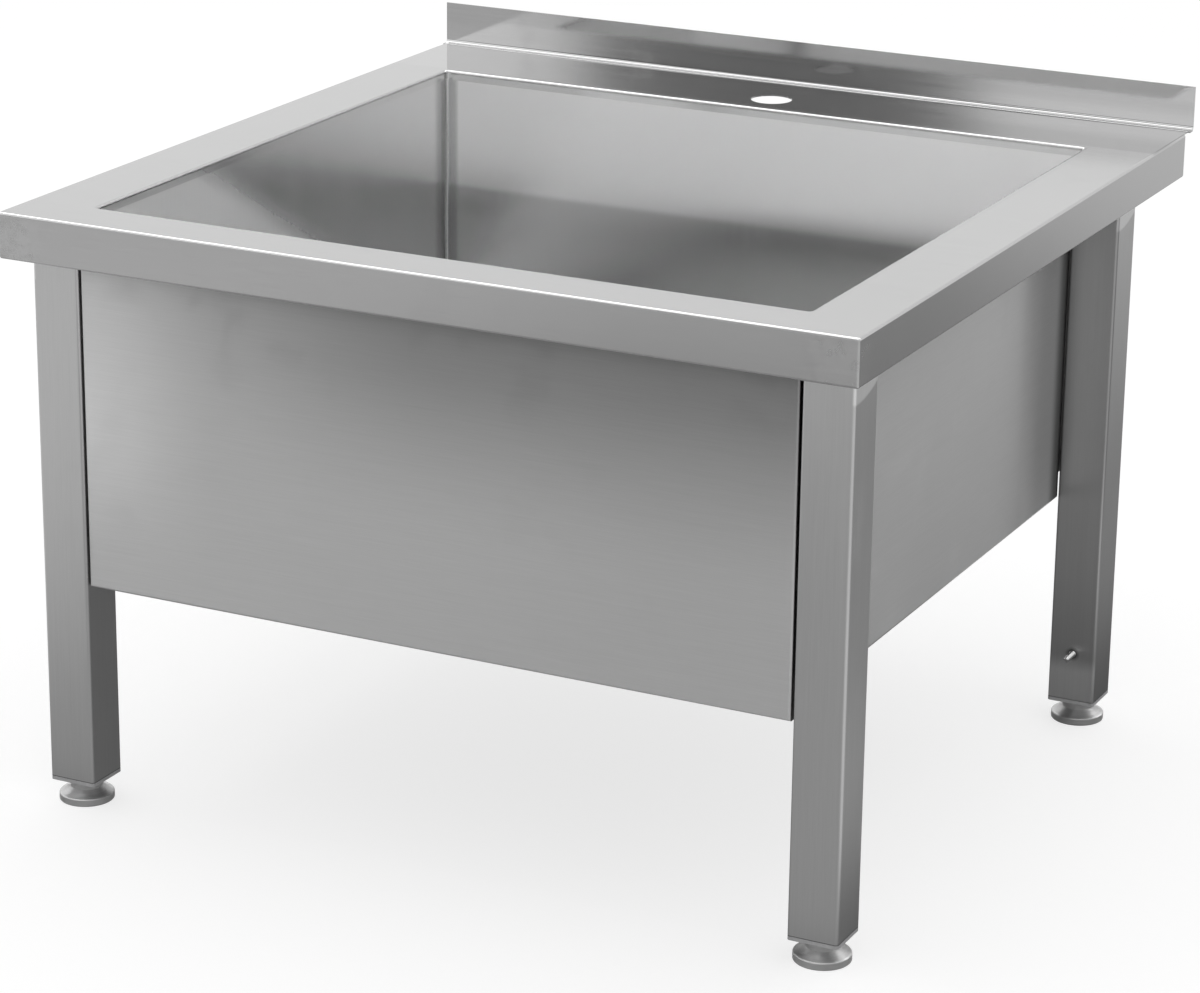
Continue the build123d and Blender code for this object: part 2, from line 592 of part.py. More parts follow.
save(front_panel(), "front_panel")
save(side_panel(-1), "left_panel")
save(side_panel(1), "right_panel")
for panel, places in rivet_places().items():
    save_group([rivet(x, y) for x, y in places], f"{panel}_panel_rivets")

for corner, (side, y) in LEGS.items():
    save(leg(side, y), f"{corner}_leg")
    save(leg_insert(side, y), f"{corner}_leg_insert")
    save(foot_base(side, y), f"{corner}_foot")
    save(foot_stud(side, y), f"{corner}_foot_stud")
save_group(leg_welds(), "leg_welds")

save(waste_body(), "waste_body")
save(waste_gasket((FLOOR_CENTRE, WASTE_SEAT)), "waste_upper_gasket")
save(waste_gasket((LOCK_NUT_TOP, LOCK_NUT_TOP + WASTE_GASKET)), "waste_lower_gasket")
save(waste_lock_nut(), "waste_lock_nut")
save(strainer(), "strainer")

save(earth_stud(), "earth_stud")
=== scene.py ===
import math

import bpy
import numpy as np
from mathutils import Matrix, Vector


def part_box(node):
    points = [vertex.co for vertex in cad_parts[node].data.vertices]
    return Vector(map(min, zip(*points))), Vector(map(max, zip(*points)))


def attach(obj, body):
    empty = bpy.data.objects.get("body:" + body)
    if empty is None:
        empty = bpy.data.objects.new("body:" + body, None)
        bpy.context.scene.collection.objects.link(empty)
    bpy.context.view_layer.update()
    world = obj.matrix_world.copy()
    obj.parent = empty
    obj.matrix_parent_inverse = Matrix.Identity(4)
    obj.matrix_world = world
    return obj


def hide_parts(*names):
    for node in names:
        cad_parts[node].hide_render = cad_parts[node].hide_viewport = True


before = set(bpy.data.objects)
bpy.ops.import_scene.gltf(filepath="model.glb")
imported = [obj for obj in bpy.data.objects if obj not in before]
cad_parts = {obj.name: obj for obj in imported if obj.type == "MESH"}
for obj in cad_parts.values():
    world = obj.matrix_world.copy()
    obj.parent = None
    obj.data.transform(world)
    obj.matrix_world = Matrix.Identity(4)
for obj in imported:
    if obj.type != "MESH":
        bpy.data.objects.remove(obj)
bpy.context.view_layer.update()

# Low stainless utility sink: its finishes, weld beads and threads, and the studio it stands in.
# Metres. The floor is z = 0, the user stands at -Y and the upstand is at +Y.

MM = 0.001

# ---------------------------------------------------------------- places taken from the frame
CORNERS = ("front_left", "front_right", "rear_left", "rear_right")
UPSTAND = 36 * MM           # height of the upstand above the rim

worktop_low, worktop_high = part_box("worktop")
skirt_foot = worktop_low.z
rim_height = worktop_high.z - UPSTAND
seam_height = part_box("bowl_floor")[1].z
bowl_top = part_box("bowl_left_wall")[1].z


def centre_of(node):
    """Middle of a node's box."""
    low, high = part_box(node)
    return (low + high) / 2


# ---------------------------------------------------------------- shader graphs
class Socket:
    """One output of a shader graph, wrapped so that shader maths reads as an expression."""

    def __init__(self, graph, link):
        self.graph = graph
        self.link = link

    def __add__(self, other):
        return self.graph.maths("ADD", self, other)

    def __radd__(self, other):
        return self.graph.maths("ADD", other, self)

    def __sub__(self, other):
        return self.graph.maths("SUBTRACT", self, other)

    def __rsub__(self, other):
        return self.graph.maths("SUBTRACT", other, self)

    def __mul__(self, other):
        return self.graph.maths("MULTIPLY", self, other)

    def __rmul__(self, other):
        return self.graph.maths("MULTIPLY", other, self)

    def __truediv__(self, other):
        return self.graph.maths("DIVIDE", self, other)

    def __rtruediv__(self, other):
        return self.graph.maths("DIVIDE", other, self)


class Graph:
    """The node tree of a material or of the world, emptied and filled again by node()."""

    def __init__(self, owner):
        owner.use_nodes = True
        self.tree = owner.node_tree
        self.tree.nodes.clear()

    def node(self, kind, settings=None, sockets=None, output=0):
        """Make one node: its type, then its settings, then the values or links of its sockets."""
        made = self.tree.nodes.new(kind)
        for key, value in (settings or {}).items():
            setattr(made, key, value)
        for key, value in (sockets or {}).items():
            if isinstance(value, Socket):
                self.tree.links.new(value.link, made.inputs[key])
            else:
                made.inputs[key].default_value = value
        return Socket(self, made.outputs[output]) if made.outputs else made

    def maths(self, operation, a, b=0.0):
        """One Math node."""
        return self.node("ShaderNodeMath", {"operation": operation}, {0: a, 1: b})

    def least(self, a, b):
        return self.maths("MINIMUM", a, b)

    def most(self, a, b):
        return self.maths("MAXIMUM", a, b)

    def size(self, a):
        """Value without its sign."""
        return self.maths("ABSOLUTE", a)

    def reach(self, a, b):
        """Length of the long side of a right triangle with short sides a and b."""
        return self.maths("SQRT", a * a + b * b)

    def rise(self, value, low, high):
        """Smooth step from 0 at low to 1 at high, or falling where low is the larger."""
        settings = {"interpolation_type": "SMOOTHSTEP"}
        if low < high:
            return self.node("ShaderNodeMapRange", settings, {0: value, 1: low, 2: high, 3: 0.0, 4: 1.0})
        return self.node("ShaderNodeMapRange", settings, {0: value, 1: high, 2: low, 3: 1.0, 4: 0.0})

    def place(self):
        """The three Object coordinates."""
        point = self.node("ShaderNodeTexCoord", output="Object")
        return [self.node("ShaderNodeSeparateXYZ", sockets={0: point}, output=i) for i in range(3)]

    def point(self, x, y, z):
        return self.node("ShaderNodeCombineXYZ", sockets={0: x, 1: y, 2: z})

    def noise(self, point, scale, detail=2.0, roughness=0.5):
        """Smooth noise about 0.5, scale waves to the metre."""
        sockets = {"Vector": point, "Scale": scale, "Detail": detail, "Roughness": roughness}
        return self.node("ShaderNodeTexNoise", sockets=sockets)

    def bump(self, height, strength, depth):
        """Normal tipped by a height pattern of this depth."""
        sockets = {"Strength": strength, "Distance": depth, "Height": height}
        return self.node("ShaderNodeBump", sockets=sockets)

    def mix(self, share, a, b):
        """Colour a where share is 0, colour b where it is 1."""
        settings = {"data_type": "RGBA"}
        return self.node("ShaderNodeMix", settings, {0: share, 6: a, 7: b}, output=2)

    def grey(self, level):
        """Neutral colour from a level."""
        return self.node("ShaderNodeCombineColor", sockets={0: level, 1: level, 2: level})


def swing(pattern, amount):
    """A pattern about 0.5 turned into one about 0, amount from its lowest to its highest."""
    return (pattern - 0.5) * amount


# ---------------------------------------------------------------- finishes
def new_material(name):
    material = bpy.data.materials.new(name)
    return material, Graph(material)


def close_material(graph, sockets):
    """Principled surface with these sockets, joined to the output."""
    surface = graph.node("ShaderNodeBsdfPrincipled", sockets=sockets)
    graph.node("ShaderNodeOutputMaterial", sockets={"Surface": surface})


GRAIN_AXES = {"x": (0, 1, 2), "y": (1, 0, 2), "z": (2, 0, 1)}
GRAIN_FINE = 2600.0         # scratches to the metre, across the grain
GRAIN_COARSE = 420.0
GRAIN_STRETCH = 0.012       # how much slower the pattern runs along the grain
GRAIN_DEPTH = 0.04 * MM
CLOUD_WAVES = 5.0           # soft blotches to the metre
SMUDGE_WAVES = 23.0
SMUDGE_RANGE = (0.52, 0.70)
EDGE_HIGHLIGHT_WIDTH = 2.2 * MM      # how far from an edge the painted highlight reaches
SHINE_SMOOTHS = 0.08
QUARTER_TURN = 0.25         # anisotropic rotation that stands a highlight upright


def painted_edge_highlight(graph, place, node, width):
    """1 along the box edges of a node and 0 away from them, where the painted highlight of the bent edges
    goes.

    The distances to the nearest pair of box faces on X, Y and Z are taken; the second smallest of
    the three is the distance to the nearest edge."""
    low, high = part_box(node)
    gaps = []
    for axis in range(3):
        middle = (low[axis] + high[axis]) / 2
        half = (high[axis] - low[axis]) / 2
        gaps.append(half - graph.size(place[axis] - middle))
    a, b, c = gaps
    second = graph.most(graph.least(a, b), graph.least(graph.most(a, b), c))
    return graph.rise(second, width, 0.0)


def brushed_steel(name, node, grain, tone=0.58, roughness=0.30, spread=0.7, across=False,
                  blotch=0.04, marks=0.04, bump=0.12, edge_highlight=0.0, extra=None):
    """Satin stainless: fine scratches along one axis, soft blotches, smudges, and smoother edges that
    carry a painted highlight.

    tone is the base grey. spread is how far the scratches widen a highlight, and across turns that
    upright on upright faces, for grain that runs level. extra may change the tone and roughness."""
    material, graph = new_material(name)
    place = graph.place()
    along, side, third = (place[i] for i in GRAIN_AXES[grain])
    stretched = graph.point(along * GRAIN_STRETCH, side, third)
    fine = graph.noise(stretched, GRAIN_FINE, detail=1.0)
    coarse = graph.noise(stretched, GRAIN_COARSE, detail=3.0, roughness=0.6)
    point = graph.point(*place)
    cloud = graph.noise(point, CLOUD_WAVES)
    smudge = graph.rise(graph.noise(point, SMUDGE_WAVES, detail=4.0, roughness=0.6), *SMUDGE_RANGE)
    level = tone + swing(fine, 0.06) + swing(coarse, 0.04) + swing(cloud, blotch)
    rough = roughness + swing(coarse, 0.05) + swing(cloud, 0.05) + smudge * marks
    # painted highlight: the box edges are painted brighter, standing in for the highlights on the bends,
    # and are made smoother
    if edge_highlight:
        edge = painted_edge_highlight(graph, place, node, EDGE_HIGHLIGHT_WIDTH)
        level = level + edge * edge_highlight
        rough = rough - edge * SHINE_SMOOTHS
    if extra:
        level, rough = extra(graph, place, level, rough)
    close_material(graph, {
        "Base Color": graph.grey(level),
        "Metallic": 1.0,
        "Roughness": rough,
        "Anisotropic": spread,
        "Anisotropic Rotation": QUARTER_TURN if across else 0.0,
        "Normal": graph.bump(fine * 0.35 + coarse * 0.65, bump, GRAIN_DEPTH),
    })
    return material


RING_WAVES = 1500.0         # turning rings to the metre
SMEAR_WAVES = 90.0
RING_DEPTH = 0.05 * MM


def turned_steel(name, centre, tone, roughness):
    """Steel turned on a lathe: rings about an upright axis, so the pattern reads radius and height."""
    material, graph = new_material(name)
    x, y, z = graph.place()
    radius = graph.reach(x - centre.x, y - centre.y)
    rings = graph.noise(graph.point(radius, z, 0.0), RING_WAVES)
    smudge = graph.noise(graph.point(x, y, z), SMEAR_WAVES, detail=3.0)
    close_material(graph, {
        "Base Color": graph.grey(tone + swing(rings, 0.16) + swing(smudge, 0.10)),
        "Metallic": 1.0,
        "Roughness": roughness + swing(rings, 0.16) + swing(smudge, 0.14),
        "Anisotropic": 0.5,
        "Anisotropic Rotation": QUARTER_TURN,
        "Normal": graph.bump(rings, 0.3, RING_DEPTH),
    })
    return material


PITTING_WAVES = 900.0       # small unevenness to the metre
PATCH_WAVES = 60.0
PITTING_DEPTH = 0.05 * MM


def bright_steel(name, tone=0.66, roughness=0.20):
    """Plain bright steel of threads, rivets and beads, slightly uneven."""
    material, graph = new_material(name)
    point = graph.point(*graph.place())
    uneven = graph.noise(point, PITTING_WAVES, detail=3.0)
    patch = graph.noise(point, PATCH_WAVES)
    close_material(graph, {
        "Base Color": graph.grey(tone + swing(uneven, 0.14) + swing(patch, 0.10)),
        "Metallic": 1.0,
        "Roughness": roughness + swing(uneven, 0.18),
        "Normal": graph.bump(uneven, 0.25, PITTING_DEPTH),
    })
    return material


TEXTURE_WAVES = 2400.0      # moulded texture to the metre
TEXTURE_DEPTH = 0.06 * MM
DUST_WAVES = 120.0
DUST_RANGE = (0.45, 0.85)
DUST_SHARE = 0.5


def moulded_plastic(name, colour, roughness=0.42):
    """Matt moulded plastic with a fine spark-eroded texture and a little dust."""
    material, graph = new_material(name)
    point = graph.point(*graph.place())
    texture = graph.noise(point, TEXTURE_WAVES)
    dust = graph.noise(point, DUST_WAVES, detail=4.0, roughness=0.65)
    pale = tuple(min(1.0, 1.5 * c + 0.03) for c in colour)
    share = graph.rise(dust, *DUST_RANGE) * DUST_SHARE
    close_material(graph, {
        "Base Color": graph.mix(share, (*colour, 1.0), (*pale, 1.0)),
        "Roughness": roughness + swing(texture, 0.15),
        "Normal": graph.bump(texture, 0.35, TEXTURE_DEPTH),
    })
    return material


BLOOM_WAVES = 300.0


def black_rubber():
    """Gasket rubber with a dull bloom."""
    material, graph = new_material("gasket_rubber")
    bloom = graph.noise(graph.point(*graph.place()), BLOOM_WAVES, detail=3.0)
    close_material(graph, {
        "Base Color": graph.grey(0.02 + bloom * 0.05),
        "Roughness": 0.55 + bloom * 0.3,
    })
    return material


# ---------------------------------------------------------------- meshes from rings of points
def ring_faces(rings, turns):
    """Quads between neighbouring rings of a stack, each ring closed on itself."""
    i, j = np.meshgrid(np.arange(rings - 1), np.arange(turns), indexing="ij")
    j_next = (j + 1) % turns
    quads = [i * turns + j, i * turns + j_next, (i + 1) * turns + j_next, (i + 1) * turns + j]
    return np.stack(quads, axis=-1).reshape(-1, 4)


def fill_mesh(name, points, quads):
    """Mesh from an array of points and an array of quads."""
    mesh = bpy.data.meshes.new(name)
    mesh.vertices.add(len(points))
    mesh.vertices.foreach_set("co", np.asarray(points, np.float32).ravel())
    mesh.loops.add(quads.size)
    mesh.loops.foreach_set("vertex_index", quads.astype(np.int32).ravel())
    mesh.polygons.add(len(quads))
    mesh.polygons.foreach_set("loop_start", np.arange(0, quads.size, 4, dtype=np.int32))
    mesh.polygons.foreach_set("use_smooth", np.ones(len(quads), dtype=bool))
    mesh.update(calc_edges=True)
    mesh.validate()
    return mesh


def add_piece(name, shells, material, body, slot, *nodes):
    """One piece from several shells, each (points, quads); it rides on a body for some nodes."""
    points, quads, count = [], [], 0
    for shell_points, shell_quads in shells:
        points.append(shell_points)
        quads.append(shell_quads + count)
        count += len(shell_points)
    mesh = fill_mesh(name, np.concatenate(points), np.concatenate(quads))
    piece = bpy.data.objects.new(name, mesh)
    bpy.context.scene.collection.objects.link(piece)
    mesh.materials.append(material)
    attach(piece, body)
    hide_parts(*nodes)


UPRIGHT = ((1, 0, 0), (0, 1, 0), (0, 0, 1))
TOWARDS_USER = ((1, 0, 0), (0, 0, 1), (0, -1, 0))
POLE = 0.02 * MM            # radius of the tiny ring that ends a turned piece at its axis
ROWS_A_TURN = 10
THREAD_DEPTH = 0.61         # depth of a screw's groove as a share of its pitch
GROOVE_STEEPNESS = 1.25     # above 1, the groove has a flat bottom


def lathe(profile, centre, axes, turns, pitch=None, depth=0.0, threaded=None):
    """Solid of revolution, with a screw thread where asked.

    profile is an array of (radius, height). A point at angle a and height h lies at
    centre + radius (cos a U + sin a V) + h W. On the threaded rows the radius is less by
    depth times a triangle wave of h / pitch - a / 2 pi, which makes the groove climb one pitch a turn."""
    u, v, w = (np.array(axis, float) for axis in axes)
    profile = np.asarray(profile, float)
    angle = np.linspace(0.0, 2 * math.pi, turns, endpoint=False)
    radius = np.repeat(profile[:, :1], turns, axis=1)
    height = np.repeat(profile[:, 1:], turns, axis=1)
    if threaded is not None:
        phase = np.mod(height / pitch - angle / (2 * math.pi), 1.0)
        groove = 1.0 - np.abs(2.0 * phase - 1.0)
        groove = np.clip(groove * GROOVE_STEEPNESS, 0.0, 1.0)
        radius = radius - depth * groove * np.asarray(threaded, float)[:, None]
    spoke = np.cos(angle)[None, :, None] * u + np.sin(angle)[None, :, None] * v
    points = np.array(centre, float) + radius[..., None] * spoke + height[..., None] * w
    return points.reshape(-1, 3), ring_faces(len(profile), turns)


def threaded_rod(centre, length, radius, pitch, axes, tip, turns=48):
    """Screw-cut rod with a chamfered tip, from its foot at centre to its end.

    The radius is the rod's, or less within tip of the end, where it falls by 1 for each 1 of length.
    The groove fades in over the first pitch and out over the tip."""
    rows = int(length / pitch * ROWS_A_TURN)
    height = np.linspace(0.0, length, rows)
    reach = np.minimum(radius, radius - tip + (length - height))
    cut = np.clip((length - height) / tip, 0.0, 1.0) * np.clip(height / pitch, 0.0, 1.0)
    profile = np.stack([reach, height], axis=1)
    profile = np.vstack([[POLE, 0.0], profile, [POLE, length]])
    cut = np.concatenate([[0.0], cut, [0.0]])
    return lathe(profile, centre, axes, turns, pitch, THREAD_DEPTH * pitch, cut)


def ripple(distance, pitch, seed):
    """Uneven weld ripple about 0, from three waves whose lengths don't divide each other."""
    wave = np.cos(2 * math.pi * distance / pitch)
    wave += 0.5 * np.cos(2 * math.pi * distance / (2.3 * pitch) + seed)
    return (wave + 0.4 * np.sin(2 * math.pi * distance / (5.1 * pitch) + 2.0 * seed)) / 1.9


FILLET_RIPPLE = 1.6 * MM    # length of a ripple on the beads under the skirt
FILLET_END = 0.15           # size of a bead's ends as a share of its middle
FILLET_FLATNESS = 0.14


def fillet_bead(start, end, wall, roof, size, seed, rows=60, across=12):
    """Rippled weld in the corner between a wall and a roof, from start to end.

    wall and roof are unit directions out of the corner along each face. The face of the bead is
    an arc between them, whose size follows the ripple and is drawn in at both ends. One more row
    runs through the corner itself, so the bead is a closed ring at each place along it."""
    start, end = np.array(start, float), np.array(end, float)
    wall, roof = np.array(wall, float), np.array(roof, float)
    share = np.linspace(0.0, 1.0, rows)
    length = np.linalg.norm(end - start)
    taper = np.sqrt(np.clip(1.0 - np.abs(2.0 * share - 1.0) ** 8, 0.0, 1.0))
    leg = size * (0.90 + 0.07 * ripple(share * length, FILLET_RIPPLE, seed))
    leg = leg * (FILLET_END + (1.0 - FILLET_END) * taper)
    angle = np.linspace(0.0, math.pi / 2, across)
    arc = np.cos(angle)[:, None] * wall + np.sin(angle)[:, None] * roof
    # drawn in a little between the faces, the bead is flatter than a round one
    flat = 1.0 - FILLET_FLATNESS * np.sin(2.0 * angle)
    ring = np.concatenate([arc * flat[:, None], [[0.0, 0.0, 0.0]]])
    line = start + share[:, None] * (end - start)
    points = line[:, None, :] + leg[:, None, None] * ring[None, :, :]
    return points.reshape(-1, 3), ring_faces(rows, across + 1)


# ---------------------------------------------------------------- camera
PHOTO_WIDTH = 1200
SENSOR = 36.0
FOCAL_PIXELS = 3920.4       # focal length in the photograph's pixels
CAMERA_PLACE = (1.3209, -2.6944, 1.2215)
CAMERA_TURN = 26.419        # degrees about Z, to the left
CAMERA_DOWN = 18.59
CAMERA_ROLL = 0.682


def photo_camera():
    """Camera at the photograph's viewing angle, turned about Z, tipped down and rolled."""
    data = bpy.data.cameras.new("photo_camera")
    data.sensor_width = SENSOR
    data.lens = FOCAL_PIXELS * SENSOR / PHOTO_WIDTH
    data.clip_start, data.clip_end = 0.05, 100.0
    camera = bpy.data.objects.new("photo_camera", data)
    turn = Matrix.Rotation(math.radians(CAMERA_TURN), 4, "Z")
    down = Matrix.Rotation(math.radians(90.0 - CAMERA_DOWN), 4, "X")
    roll = Matrix.Rotation(math.radians(CAMERA_ROLL), 4, "Z")
    camera.matrix_world = Matrix.Translation(CAMERA_PLACE) @ turn @ down @ roll
    bpy.context.scene.collection.objects.link(camera)
    bpy.context.scene.camera = camera


# ---------------------------------------------------------------- floor and studio
WHITE = (1.0, 1.0, 1.0, 1.0)


def flat_mesh(name, centre, across, up):
    """Rectangle with these half sides, facing along across x up."""
    centre, across, up = (np.array(v, float) for v in (centre, across, up))
    corners = [centre - across - up, centre + across - up, centre + across + up, centre - across + up]
    return fill_mesh(name, np.array(corners), np.array([[0, 1, 2, 3]]))


def stage_piece(name, mesh, material):
    piece = bpy.data.objects.new(name, mesh)
    mesh.materials.append(material)
    bpy.context.scene.collection.objects.link(piece)
    return piece


def ray_kinds(graph):
    """Three masks: rays from the camera, rays by way of metal and rays through glass."""
    kinds = ("Is Camera Ray", "Is Glossy Ray", "Is Transmission Ray")
    return [graph.node("ShaderNodeLightPath", output=kind) for kind in kinds]


FLOOR_REACH = 14.0
FLOOR_DROP = 0.2 * MM       # the paper lies this far below the feet
FLOOR_COLOUR = 0.36
FLOOR_WHITE = 0.70          # share of the background's white that needs no light


def pale_floor():
    """White paper floor: part of its white is plain, the rest is lit and takes the shadow."""
    material, graph = new_material("floor_paper")
    camera, glossy, through = ray_kinds(graph)
    white = graph.most(graph.most(camera, glossy), through) * FLOOR_WHITE
    lit = graph.node("ShaderNodeBsdfDiffuse", sockets={0: (FLOOR_COLOUR,) * 3 + (1.0,)})
    plain = graph.node("ShaderNodeEmission", sockets={0: WHITE, 1: white})
    both = graph.node("ShaderNodeAddShader", sockets={0: lit, 1: plain})
    graph.node("ShaderNodeOutputMaterial", sockets={"Surface": both})
    mesh = flat_mesh("floor", (0, 0, -FLOOR_DROP), (FLOOR_REACH, 0, 0), (0, FLOOR_REACH, 0))
    stage_piece("floor", mesh, material)


def far_card(graph, direction, azimuth, elevation, half_width, half_height, soft):
    """1 where a far soft-edged card stands in the surroundings, 0 elsewhere.

    azimuth turns from the rear (+Y) to the left, in degrees. The direction is put on the plane one
    unit away that faces the card, where the card is a rectangle with these half sides."""
    a, e = math.radians(azimuth), math.radians(elevation)
    ahead = (-math.sin(a) * math.cos(e), math.cos(a) * math.cos(e), math.sin(e))
    right = (math.cos(a), math.sin(a), 0.0)
    up = (math.sin(a) * math.sin(e), -math.cos(a) * math.sin(e), math.cos(e))
    depth, across, above = (sum((direction[i] * axis[i] for i in range(3)), 0.0)
                            for axis in (ahead, right, up))
    safe = graph.most(depth, 0.001)
    mask = graph.rise(graph.size(across / safe), half_width, half_width - soft)
    mask = mask * graph.rise(graph.size(above / safe), half_height, half_height - soft)
    return mask * graph.rise(depth, 0.0, 0.05)


# Cards that the steel mirrors: azimuth, elevation, half width, half height and soft edge
SOFTBOX = (26.0, 58.0, 1.60, 0.17, 0.06)
FRONT_SOFTBOX = (154.0, 62.0, 0.50, 0.15, 0.06)
PALE_CARD = (155.0, 20.0, 0.28, 0.26, 0.08)
DARK_GAP = (156.1, 16.0, 0.054, 0.45, 0.01)
CARD_LIGHTS = ((SOFTBOX, 5.5), (FRONT_SOFTBOX, 2.5), (PALE_CARD, 0.6))
GAP_DARKNESS = 0.80
LOW_FRONT = (0.1, -0.3)     # from the rear to the front, as a share of the direction
LOW_FRONT_HEIGHT = (0.17, 0.05)
LOW_FRONT_DARKNESS = 0.6    # how much darker the surroundings are low down in front
LAMP_SHARE = 0.80           # how strongly the white surroundings light what isn't metal


def studio_surroundings():
    """White surroundings. Only metal mirrors the cards, the dark gap and the darker low front."""
    world = bpy.data.worlds.new("studio")
    bpy.context.scene.world = world
    graph = Graph(world)
    direction = graph.place()
    seen = 1.0
    for card, light in CARD_LIGHTS:
        seen = seen + far_card(graph, direction, *card) * light
    low_front = graph.rise(direction[1], *LOW_FRONT) * graph.rise(direction[2], *LOW_FRONT_HEIGHT)
    seen = seen - low_front * LOW_FRONT_DARKNESS
    seen = seen * (1.0 - far_card(graph, direction, *DARK_GAP) * GAP_DARKNESS)
    camera, glossy, through = ray_kinds(graph)
    plain = graph.most(camera, through)
    strength = plain + glossy * seen + (1.0 - graph.most(plain, glossy)) * LAMP_SHARE
    background = graph.node("ShaderNodeBackground", sockets={0: WHITE, 1: strength})
    graph.node("ShaderNodeOutputWorld", sockets={"Surface": background})


# Places on the glowing sheet, from where a change in its painted tone starts to where it is full
CLOTH_REACH = 5.0
CLOTH_LIFT = 0.2 * MM
CLOTH_LEFT = (-0.40, -0.90)
CLOTH_RIGHT = (0.35, 0.60)
CLOTH_FRONT = (-1.15, -1.50)
CLOTH_FRONT_RIGHT = (-1.10, -0.50)
SKIRT_CLOTH = (-1.58, -1.72)        # beyond it lies what the skirt mirrors
SKIRT_SPOT = -0.85
SKIRT_SPOT_WIDTH = 0.34
REAR_CLOTH = (0.85, 1.70)
REAR_RIGHT = (0.74, 0.92)
REAR_RIGHT_SHIFT = 0.5
CLOTH_HALVES = (0.3, -0.3)          # from the rear half to the front half
UNDER_SIDES = (0.62, 0.34)          # from outside to under the sink
UNDER_REAR = (0.70, 0.34)
UNDER_FRONT = (-0.42, -0.26)
PANEL_CLOTH_TONE = 0.40
SKIRT_CLOTH_TONE = 0.63
REAR_CLOTH_TONE = 0.28
UNDER_SINK_SHADOW = 0.62


def cloth_ahead(graph, x, y):
    """Tone of the cloth in front of the sink: nearer for the panel, and farther off for the skirt."""
    right = graph.rise(x, *CLOTH_RIGHT)
    panel = PANEL_CLOTH_TONE + graph.rise(x, *CLOTH_LEFT) * 0.40 + right * 0.34
    panel = panel * (1.0 - graph.rise(y, *CLOTH_FRONT) * graph.rise(x, *CLOTH_FRONT_RIGHT) * 0.34)
    spot = graph.rise(graph.size(x - SKIRT_SPOT), SKIRT_SPOT_WIDTH, 0.0)
    skirt = SKIRT_CLOTH_TONE + spot * 0.24 + right * 0.16
    return panel + (skirt - panel) * graph.rise(y, *SKIRT_CLOTH)


def painted_shadow_under_sink(graph, x, y):
    """1 on the cloth under the sink, where it is painted darker, a painted shadow of the sink."""
    middle = graph.rise(graph.size(x), *UNDER_SIDES)
    return middle * graph.rise(y, *UNDER_REAR) * graph.rise(y, *UNDER_FRONT)


def glowing_reflection_sheet():
    """Glowing grey sheet round the sink that only the steel sees, a painted reflection of the floor,
    lighter to the left and at the rear.
    """
    material, graph = new_material("glowing_reflection_sheet")
    x, y = graph.place()[:2]
    shifted = y - graph.rise(x, *REAR_RIGHT) * REAR_RIGHT_SHIFT
    behind = REAR_CLOTH_TONE + graph.rise(shifted, *REAR_CLOTH) * 0.46
    ahead = graph.rise(y, *CLOTH_HALVES)
    tone = cloth_ahead(graph, x, y) * ahead + behind * (1.0 - ahead)
    # painted shadow of the sink on the sheet
    tone = tone * (1.0 - painted_shadow_under_sink(graph, x, y) * UNDER_SINK_SHADOW)
    glow = graph.node("ShaderNodeEmission", sockets={0: WHITE, 1: tone})
    graph.node("ShaderNodeOutputMaterial", sockets={"Surface": glow})
    mesh = flat_mesh("glowing_reflection_sheet", (0, 0, CLOTH_LIFT), (CLOTH_REACH, 0, 0), (0, CLOTH_REACH, 0))
    cloth = stage_piece("glowing_reflection_sheet", mesh, material)
    cloth.visible_camera = False
    cloth.visible_diffuse = False
    cloth.visible_transmission = False
    cloth.visible_shadow = False


def overhead_lamp():
    """Wide soft lamp above the sink for what isn't metal, which gives the floor its shadow."""
    data = bpy.data.lights.new("overhead_lamp", "AREA")
    data.shape = "RECTANGLE"
    data.size, data.size_y = 2.4, 1.8
    data.energy = 12.0
    lamp = bpy.data.objects.new("overhead_lamp", data)
    lamp.location = (-0.3, 0.2, 2.6)
    bpy.context.scene.collection.objects.link(lamp)
    lamp.visible_camera = False
    lamp.visible_glossy = False


# ---------------------------------------------------------------- finish of the legs
def dress(node, material):
    """Give a CAD node its finish."""
    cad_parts[node].material_slots[0].material = material


PATCH_HEIGHT = 22 * MM      # height of the wheel's light patch under a weld, at the leg's front
PATCH_SLANT = 10 * MM       # how much less high it is at the leg's rear
PATCH_EDGE = 3 * MM
OUTSIDE_FACE = (17 * MM, 19 * MM)   # from a leg's middle to its outer face
# heights above a leg's foot where its painted shadow line ends and where it is full
FOOT_SHADOW_LINE = (1.0 * MM, 0.4 * MM)
PAINTED_DARK_HEIGHTS = (120 * MM, 260 * MM)      # heights over which the rear right leg's front is painted darker, a painted reflection
PAINTED_LIGHT_FOOT = (62 * MM, 46 * MM)      # heights over which it is painted lighter towards its foot, a painted reflection
OUTER_RING = (7.0 * MM, 4.0 * MM)
INNER_RING = (4.4 * MM, 3.6 * MM)


def stud_ring_darkening(graph, place, level, rough):
    """Darker, rougher ring round the stud on the leg's front, with a darker inner ring."""
    x, y, z = place
    middle = centre_of("earth_stud")
    reach = graph.reach(x - middle.x, z - middle.z)
    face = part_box("rear_right_leg")[0].y
    front = graph.rise(y, face + 3.0 * MM, face + 1.0 * MM)
    wide_ring = front * graph.rise(reach, *OUTER_RING)
    inner = front * graph.rise(reach, *INNER_RING)
    return level - wide_ring * 0.26 - inner * 0.16, rough + wide_ring * 0.10


